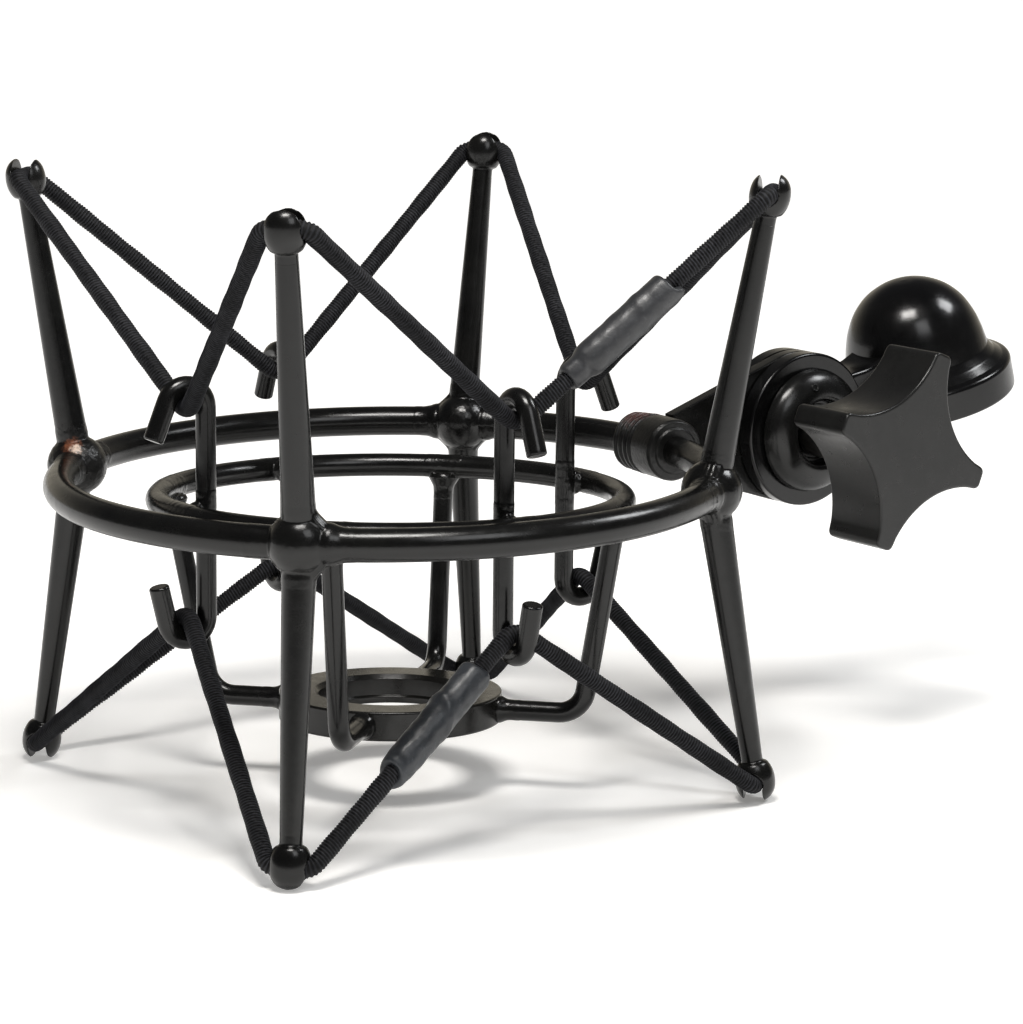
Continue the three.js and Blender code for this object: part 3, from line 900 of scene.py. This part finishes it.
def build_strut(quarter, side, route):
    level = "upper" if side > 0 else "lower"
    name = f"strut_{level}_{QUARTERS[quarter]}"
    foot, axis, reach = strut_line(quarter, side)
    distances = np.linspace(2, reach - 4.6, 40)
    profile = [(strut_radius(distance, reach), distance) for distance in distances]
    profile = [(0, 2)] + profile + [(STRUT_THIN - 0.2, reach - 4.4), (0, reach - 4.4)]
    body = solid(f"turned_{name}", RING_SPACE, lathe(profile, 40, along(foot, axis)))
    head = tip_head(f"head_{name}", quarter, side, route, foot, axis, reach)
    merge(body, head)
    dress(body, FRAME_PAINT, [name])
    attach(body, "frame")


# How far the braze spreads along the ring on each side of a node, and how rough it is.
BRAZES = {
    "right": (0.5, 0.6, 0.02), "back": (0.6, 0.6, 0.03),
    "left": (0.1, 0.3, 0.05), "front": (0, 0.8, 0.01),
}
NODE_REACH = 10  # how far a node's sleeve runs along the ring each way


def fillet_webs(foot, axis, sideways, spread):
    """Three bent beads that fill the corner between a strut and the ring."""
    bend = 2 + spread
    angles = np.radians(np.linspace(0, 90, 15))[:, None]
    across = np.cross(axis, sideways)
    skins = []
    for shift, sink in ((-0.8, 0.15), (0, 0), (0.8, 0.15)):
        middle = RING_ROD + 0.3 + bend - sink
        rise = middle - (bend + 0.65) * np.sin(angles)
        run = middle - (bend + 0.65) * np.cos(angles)
        points = foot + rise * axis + run * sideways + shift * across
        radii = 0.3 + 0.55 * np.sin(2 * angles[:, 0])
        skins.append(tube(points, radii, 16))
    return skins


def build_node(quarter):
    """A brazed ball with concave fillets to the ring and to both struts."""
    place = QUARTERS[quarter]
    before, after, grain = BRAZES[place]
    foot = polar(RING_RADIUS, 90 * quarter)
    sideways = polar(1, 90 * quarter + 90)
    points = ring_arc(RING_RADIUS, 90 * quarter, 0, NODE_REACH, 41)
    radii = []
    for offset in np.linspace(-NODE_REACH, NODE_REACH, 41):
        spread = before if offset < 0 else after
        flare = 0.9 * spread * math.exp(-((abs(offset) - 4.4) / (0.6 + spread)) ** 2)
        sink = 0.35 * max(0, abs(offset) - NODE_REACH + 1.6)
        radii.append(RING_ROD + 0.05 + flare - sink)
    skins = [ball(foot, NODE_BALL + 0.3, 48), tube(points, radii, 32)]
    for side in (1, -1):
        _, axis, reach = strut_line(quarter, side)
        stub = [(strut_radius(distance, reach) + lift, distance) for distance, lift in
                ((1, 0), (4.4, 0.02), (5.2, 0.06), (6.4, 0.01), (7.6, -0.05), (9, -0.3))]
        skins.append(lathe([(0, 1)] + stub + [(0, 9)], 40, along(foot, axis)))
        for way, spread in ((-1, before), (1, after)):
            if spread > 0.4:
                skins += fillet_webs(foot, axis, way * sideways, spread)
    node = fuse(solid(f"braze_node_{place}", RING_SPACE, *skins), 0.16, 8)
    roughen(node, 0.8, grain)
    material = BRAZE_LEFT if place == "left" else FRAME_PAINT
    dress(node, material, [f"node_{place}"])
    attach(node, "frame")


def build_ring(node, space, radius, rod, height, body, material):
    """A bent rod, with the faint unevenness of its rolling."""
    angles = np.linspace(0, 360, 260, endpoint=False)
    radii = radius + 0.03 * np.sin(np.radians(7 * angles))
    points = [polar(reach, angle, height) for reach, angle in zip(radii, angles)]
    ring = solid(f"rolled_{node}", space, tube(points, rod, 36, looped=True))
    dress(ring, material, [node])
    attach(ring, body)


def build_collar():
    """A turned collar bent to the ring: a barrel with a stepped end, and four ribs."""
    corners = [(3.0, -6.6, 0), (3.7, -6.6, 0.2), (3.95, -6.2, 0.1), (4.85, -6.2, 0.3),
               (COLLAR, -5.6, 0.3), (COLLAR, 0.1, 0.3)]
    for rib in range(4):
        start = 0.2 + 1.5 * rib
        corners += [(COLLAR - 0.75, start + 0.35, 0.2), (COLLAR - 0.08 * rib, start + 0.75, 0.3),
                    (COLLAR - 0.12 * rib, start + 1.25, 0.3)]
    corners += [(COLLAR - 1.1, 6.4, 0.3), (3.0, 6.6, 0)]
    profile = rounded(corners, steps=4)
    sides = 56
    angles = circle(sides)
    rings = np.empty((len(profile), sides, 3))
    for index, (radius, length) in enumerate(profile):
        bow = length / RING_RADIUS + math.radians(COLLAR_AZIMUTH)
        reach = RING_RADIUS + radius * np.cos(angles)
        ring = [reach * math.cos(bow), reach * math.sin(bow), radius * np.sin(angles)]
        rings[index] = np.stack(ring, 1)
    collar = solid("ribbed_collar", RING_SPACE, (rings, False))
    roughen(collar, 0.9, 0.05)
    dress(collar, BRAZE_COLLAR, ["ring_collar"])
    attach(collar, "frame")


# ---- Microphone cage ----


def rod_ends(points, radius, edge=0.35):
    """Radii along a rod whose two ends are rounded off, with points added to carry the rounding."""
    points = np.array(points)
    caps = []
    for end, inner in ((points[0], points[1]), (points[-1], points[-2])):
        inward = unit(inner - end)
        angles = np.linspace(0, math.pi / 2, 6)
        places = [end + inward * edge * (1 - math.sin(angle)) for angle in reversed(angles)]
        radii = [radius - edge * (1 - math.cos(angle)) for angle in reversed(angles)]
        caps.append((places, radii))
    (first, first_radii), (last, last_radii) = caps
    middle = points[1:-1]
    line = np.vstack([first, middle, last[::-1]])
    return line, first_radii + [radius] * len(middle) + last_radii[::-1]


def build_hook(diagonal):
    """A straight rod with a crook at each end, free legs outward."""
    place = DIAGONALS[diagonal]
    around = np.array([0, 1.0, 0])
    bottom, top = HOOK_BOTTOM + CROOK, HOOK_TOP - CROOK
    lean = math.radians(LOWER_LEG[0])
    away = np.array([math.sin(lean), 0, math.cos(lean)])
    start = np.array([HOOK_LINE + CROOK, 0, bottom])
    start = start + CROOK * np.array([math.cos(lean), 0, -math.sin(lean)]) + away * LOWER_LEG[1]
    route = Route(start, -away, 0.7)
    route.forward(LOWER_LEG[1])
    route.bend(CROOK, around, math.radians(180 - LOWER_LEG[0]))
    route.forward(top - bottom)
    route.bend(CROOK, around, math.radians(180 - UPPER_LEG[0]))
    route.forward(UPPER_LEG[1])
    points, radii = rod_ends(route.points, HOOK_ROD)
    rings, looped = tube(points, radii, 28)
    rod = solid(f"bent_hook_{place}", CAGE_SPACE, (moved(rings, turn(45 + 90 * diagonal, "Z")), looped))
    dress(rod, CAGE_PAINT, [f"hook_rod_{place}"], crisp=True)
    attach(rod, "cage")


def arm_route(quarter):
    top = np.array([ARM_TOP, 0, INNER_HEIGHT - INNER_ROD + 0.6])
    knee = np.array([ARM_KNEES[quarter], 0, SEAT_MIDDLE])
    fall = unit(knee - top)
    angle = math.acos(-fall[0])
    setback = ARM_BEND * math.tan(angle / 2)
    route = Route(top, fall, 0.7)
    route.forward(np.linalg.norm(knee - top) - setback)
    route.bend(ARM_BEND, np.array([0, 1.0, 0]), angle)
    route.forward(ARM_KNEES[quarter] - setback - SEAT_OUTER + 1)
    return np.array(route.points)


def build_arm(quarter):
    rings, looped = tube(arm_route(quarter), ARM_ROD, 28)
    place = QUARTERS[quarter]
    arm = solid(f"bent_arm_{place}", CAGE_SPACE, (moved(rings, turn(90 * quarter, "Z")), looped))
    dress(arm, CAGE_PAINT, [f"cage_arm_{place}"])
    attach(arm, "cage")


def weld(name, skins, degrees, grain=0.03):
    """Melts short sleeves over two rods into one fillet, turned to its place round the cage."""
    around = turn(degrees, "Z")
    skins = [(moved(rings, around), looped) for rings, looped in skins]
    bead = fuse(solid(name, CAGE_SPACE, *skins), 0.15, 8)
    roughen(bead, 0.9, grain)
    dress(bead, CAGE_PAINT)
    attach(bead, "cage")


def tapered(length, radius, proud=0.05, count=21):
    """Radii of a short sleeve that sinks into its rod at both ends."""
    offsets = np.linspace(-length, length, count)
    return [radius + proud - 0.25 * max(0, abs(offset) - length + 1.2) for offset in offsets]


def ring_sleeve():
    """A short sleeve over the inner ring."""
    return tube(ring_arc(INNER_RADIUS, 0, INNER_HEIGHT, 4.6, 21), tapered(4.6, INNER_ROD), 24)


def build_hook_weld(diagonal):
    """The hook rod runs inside the inner ring and is brazed to it."""
    rod = [(HOOK_LINE, 0, INNER_HEIGHT + height) for height in np.linspace(-5, 5, 21)]
    skins = [
        tube(rod, tapered(5, HOOK_ROD), 24),
        ring_sleeve(),
        ball((HOOK_LINE + 1.9, 0, INNER_HEIGHT), (1.2, 1.9, 2.05)),
    ]
    weld(f"weld_hook_{DIAGONALS[diagonal]}", skins, 45 + 90 * diagonal)


def build_arm_weld(quarter):
    """The arm is brazed under the inner ring."""
    points = arm_route(quarter)
    lengths = np.linalg.norm(points - points[0], axis=1)
    near = lengths < 5.2
    radii = ARM_ROD + 0.05 + 0.9 * np.exp(-((lengths[near] - 0.6) / 1) ** 2)
    radii = radii - 0.3 * np.maximum(0, lengths[near] - 4.2)
    skins = [ring_sleeve(), tube(points[near], radii, 24)]
    weld(f"weld_arm_{QUARTERS[quarter]}", skins, 90 * quarter)


def build_seat_weld(quarter):
    """The arm's foot is brazed to the side of the seat ring."""
    reaches = np.linspace(SEAT_OUTER - 2, SEAT_OUTER + 4.4, 27)
    flare = 0.55 * np.exp(-((reaches - SEAT_OUTER) / 0.9) ** 2)
    radii = ARM_ROD + 0.05 + flare - 0.3 * np.maximum(0, reaches - SEAT_OUTER - 3.4)
    points = [(reach, 0, SEAT_MIDDLE) for reach in reaches]
    weld(f"weld_seat_{QUARTERS[quarter]}", [tube(points, radii, 28)], 90 * quarter)


def build_seat():
    """A turned ring: chamfered bore with a lip at its foot, and soft outer corners."""
    foot = SEAT_TOP - SEAT_HEIGHT
    corners = [
        (SEAT_LIP, foot, 0.25), (SEAT_OUTER, foot, 0.45), (SEAT_OUTER, SEAT_TOP, 0.4),
        (SEAT_BORE + 0.7, SEAT_TOP, 0.15), (SEAT_BORE, SEAT_TOP - 0.7, 0.15),
        (SEAT_BORE, foot + 1.3, 0.1), (SEAT_LIP, foot + 1.1, 0.2),
    ]
    seat = solid("turned_seat", CAGE_SPACE, lathe(rounded(corners, closed=True), 128, looped=True))
    dress(seat, SEAT_PAINT, ["seat_ring"], crisp=True)
    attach(seat, "cage")


# ---- Swivel ----


def bolt_tool(radius, half):
    profile = [(0, -half), (radius, -half), (radius, half), (0, half)]
    return solid("tool", SWIVEL_SPACE, lathe(profile, 64, ABOUT_Y))


def build_lug():
    """A teardrop plate from the collar, with a round eye for the bolt and a weld at its root."""
    root = (2.8 - HINGE_REACH, 5)
    angle = math.degrees(math.atan2(root[1], root[0]))
    touch = angle - math.degrees(math.acos(DISC / math.hypot(*root)))
    outline = arc((0, 0), DISC, touch, -touch, 90)
    outline += [(root[0], -root[1]), (root[0] + 1, 0), root]
    lug = solid("lug_teardrop", SWIVEL_SPACE, slab(outline, -LUG_HALF, LUG_HALF, 0.35))
    combine(lug, bolt_tool(BOLT_HOLE, 5), "DIFFERENCE")
    dress(lug, FRAME_PAINT, ["lug_plate"], crisp=True)
    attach(lug, "frame")
    bead = [
        ball((-HINGE_REACH + 4.6, 0, 0), (1.6, 2.0, 4.6)),
        ball((-HINGE_REACH + 6.2, 0, 0), (2.4, 1.55, 5.2)),
    ]
    weld_bead = fuse(solid("weld_collar", SWIVEL_SPACE, *bead), 0.16, 8)
    roughen(weld_bead, 0.8, 0.06)
    dress(weld_bead, BRAZE_COLLAR)
    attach(weld_bead, "frame")


def socket_profile():
    """The socket's wall from its ceiling to its mouth, with the thread as close ridges."""
    height = SOCKET_CEILING - 1
    profile = [(0, SOCKET_CEILING), (SOCKET - 0.1, SOCKET_CEILING), (SOCKET - 0.1, height)]
    while height > BELL_FOOT + 1.8:
        profile.append((SOCKET - 0.08, height))
        profile += [(SOCKET + 0.32, height - THREAD_PITCH * share) for share in (0.4, 0.6)]
        height -= THREAD_PITCH
    profile += [(SOCKET, BELL_FOOT + 1), (SOCKET + 0.9, BELL_FOOT)]
    return profile


def bell_skin():
    shoulder = rounded([
        (SOCKET + 0.9, BELL_FOOT, 0), (FLANGE, BELL_FOOT, 0.5), (FLANGE, -4.5, 1.1),
        (15, -4, 0.8), (13.7, -2.9, 1.6), (12.75, -1.5, 0),
    ], steps=5)
    dome = curved([
        (12.75, -1.5), (12.5, 0), (12.1, 1.9), (11.35, 4.3), (9.9, 7.15), (7.8, 9.5),
        (5.2, 11.15), (2.6, 12.05), (0, 12.3),
    ], 7)
    profile = np.vstack([socket_profile(), shoulder, dome[1:]])
    return lathe(profile, 128, Matrix.Translation((BELL_REACH, 0, BELL_RISE)))


def build_fork():
    """Two round cheeks, a flat neck and the bell, cast in one."""
    half = CHEEK_OUT
    disc = rounded([(0, -half, 0), (DISC, -half, 0.55), (DISC, half, 0.55), (0, half, 0)])
    fork = solid("cast_fork", STAND_SPACE, lathe(disc, 144, ABOUT_Y))
    foot = BELL_REACH - 9
    outline = rounded([
        (-2, -5.6, 0), (10, -5.2, 4), (16, -3.5, 8), (foot, -4.2, 0), (foot, 6.6, 0),
        (16, 5.4, 8), (10, 6.1, 4), (-2, 6.6, 0),
    ], closed=True, steps=8)
    neck = solid("neck", STAND_SPACE, slab(outline, -half + 0.07, half - 0.07, 0.7))
    combine(fork, neck, "UNION")
    combine(fork, solid("bell", STAND_SPACE, bell_skin()), "UNION")
    combine(fork, bolt_tool(DISC + 0.5, CHEEK_IN), "DIFFERENCE")
    combine(fork, bolt_tool(BOLT_HOLE, 10), "DIFFERENCE")
    dress(fork, CAST_PAINT, ["stand_fork"], sharp=32, crisp=True)
    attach(fork, "stand")


def punch_mark():
    """A small ring raised on the cup's dome, left by its casting."""
    reach, height, lean, size = 8.3, 7.98, 104, 0.55
    slope = math.radians(28)
    loop = []
    for angle in circle(24):
        out, side = size * math.cos(angle), size * math.sin(angle)
        radius, rise = reach + out * math.cos(slope), height - out * math.sin(slope)
        direction = math.radians(lean) + side / reach
        loop.append((radius * math.cos(direction), -rise, radius * math.sin(direction)))
    return solid("mark", SWIVEL_SPACE, tube(loop, 0.13, 10, looped=True))


def build_cup():
    """A domed washer, recessed for the knob's neck."""
    base = CHEEK_OUT + 0.3
    dome = curved([
        (10.7, base + 0.3), (10.66, 5.1), (10.3, 6.2), (9.4, 7.25), (8, 8.05), (6.7, 8.35),
        (5.9, 8.15), (5.45, 7.5), (5.35, 6.6),
    ], 8)
    recess = rounded([
        (5.35, 6.6, 0), (5.35, 6.2, 0.1), (4.75, 6.2, 0.15), (4.7, 5.9, 0.1), (BOLT_HOLE, 5.9, 0),
    ])
    profile = np.vstack([(BOLT_HOLE, base), (10.5, base), dome, recess[1:]])
    cup = solid("domed_cup", SWIVEL_SPACE, lathe(profile, 128, ABOUT_Y, looped=True))
    merge(cup, punch_mark())
    dress(cup, CUP_PAINT, ["clamp_cup"], crisp=True)
    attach(cup, "clamp")


def knob_outline():
    """Four blunt lobes joined by round hollows."""
    far = KNOB_RADIUS - 1
    squared = far ** 2 + KNOB_LOBE ** 2 - KNOB_WAIST ** 2
    spread = squared / (2 * (far + KNOB_LOBE - math.sqrt(2) * KNOB_WAIST))
    hollow = math.sqrt(2) * spread - KNOB_WAIST
    shoulder = KNOB_RADIUS - 2.4
    flank = math.asin((spread - shoulder) / hollow)
    half_width = spread - hollow * math.cos(flank)
    half_end = half_width - 0.6 * (KNOB_RADIUS - shoulder) * math.tan(flank)
    outline = []
    for lobe in range(4):
        lean = 90 * lobe + 90 - KNOB_TURN
        out = polar(1, lean)[:2]
        across = polar(1, lean + 90)[:2]
        blunt = rounded([
            (shoulder, -half_width, 0), (KNOB_RADIUS, -half_end, 1.3),
            (KNOB_RADIUS, half_end, 1.3), (shoulder, half_width, 0),
        ], steps=8)
        outline += [out * x + across * y for x, y in blunt]
        centre = out * spread + across * spread
        half = 45 - math.degrees(flank)
        facing = lean + 225
        bend = arc(centre, hollow, facing + half, facing - half, 30)
        outline += [np.array(point) for point in bend[1:-1]]
    return np.array(outline)


def build_knob():
    grip = slab(knob_outline(), -KNOB_BACK - KNOB_DEPTH, -KNOB_BACK, 0.42)
    knob = solid("star_grip", SWIVEL_SPACE, grip)
    dress(knob, KNOB_PAINT, ["star_knob"], crisp=True)
    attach(knob, "knob")
    tail, top = -CHEEK_OUT - 1.2, KNOB_BACK - 0.3
    corners = [
        (0, tail, 0), (BOLT, tail, 0.4), (BOLT, 6.3, 0.2), (NECK, 6.3, 0.4),
        (NECK, KNOB_BACK - 2, 1.6), (NECK + 1.7, top, 0), (0, top, 0),
    ]
    bolt = solid("turned_bolt", SWIVEL_SPACE, lathe(rounded(corners), 64, ABOUT_Y))
    dress(bolt, BOLT_STEEL, ["clamp_bolt"], crisp=True)
    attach(bolt, "knob")


# ---- Putting it together ----

add_lights(*add_camera())


def paint(name, dark, pale, gloss):
    return satin_paint(f"{name}_paint", dark, pale, gloss).material


FRAME_PAINT = paint("frame", (0.0022, 0.0022, 0.0022), (0.005, 0.005, 0.0045), 0.23)
CAGE_PAINT = paint("cage", (0.0022, 0.0022, 0.0022), (0.005, 0.005, 0.0046), 0.23)
SEAT_PAINT = paint("seat", (0.003, 0.003, 0.0026), (0.007, 0.0066, 0.0055), 0.24)
CAST_PAINT = paint("cast", (0.0015, 0.0015, 0.0017), (0.003, 0.003, 0.003), 0.2)
CUP_PAINT = paint("cup", (0.003, 0.003, 0.003), (0.006, 0.006, 0.0057), 0.24)
KNOB_PAINT = paint("knob", (0.006, 0.006, 0.0058), (0.01, 0.01, 0.0096), 0.3)
LEFT_NODE = polar(RING_RADIUS, 180)
BRAZE_LEFT = worn_braze("braze_left", [
    (LEFT_NODE + (0.2, -2.7, 3.3), 3.2, (0.2, 0.07, 0.035)),
    (LEFT_NODE + (0.9, -3.1, 2.9), 2.2, (0.8, 0.62, 0.5)),
])
COLLAR_SPOT = polar(RING_RADIUS, COLLAR_AZIMUTH + 4, 4)
BRAZE_COLLAR = worn_braze("braze_collar", [(COLLAR_SPOT, 7, (0.05, 0.014, 0.011))], 0.34)
BOLT_STEEL = dark_steel()
BRAID = braided_cover()
SHRINK_PALE = shrink_tube("shrink_pale", (0.018, 0.019, 0.021), (0.032, 0.033, 0.036))
SHRINK_DARK = shrink_tube("shrink_dark", (0.015, 0.017, 0.02), (0.036, 0.04, 0.046))

sheet = lathe([(FLOOR_REACH, 0), (FLOOR_REACH, -FLOOR_DEPTH)], 8)
floor = solid("floor", Matrix.Scale(MM, 4), sheet)
floor.data.materials.append(pale_floor())

build_ring("outer_ring", RING_SPACE, RING_RADIUS, RING_ROD, 0, "frame", FRAME_PAINT)
build_ring("inner_ring", CAGE_SPACE, INNER_RADIUS, INNER_ROD, INNER_HEIGHT, "cage", CAGE_PAINT)
for quarter in range(4):
    build_node(quarter)
    build_strut(quarter, 1, UPPER_ROUTE[0])
    build_strut(quarter, -1, LOWER_ROUTE[0])
    build_hook(quarter)
    build_hook_weld(quarter)
    build_arm(quarter)
    build_arm_weld(quarter)
    build_seat_weld(quarter)
build_seat()
build_collar()
build_elastic()
build_lug()
build_fork()
build_cup()
build_knob()
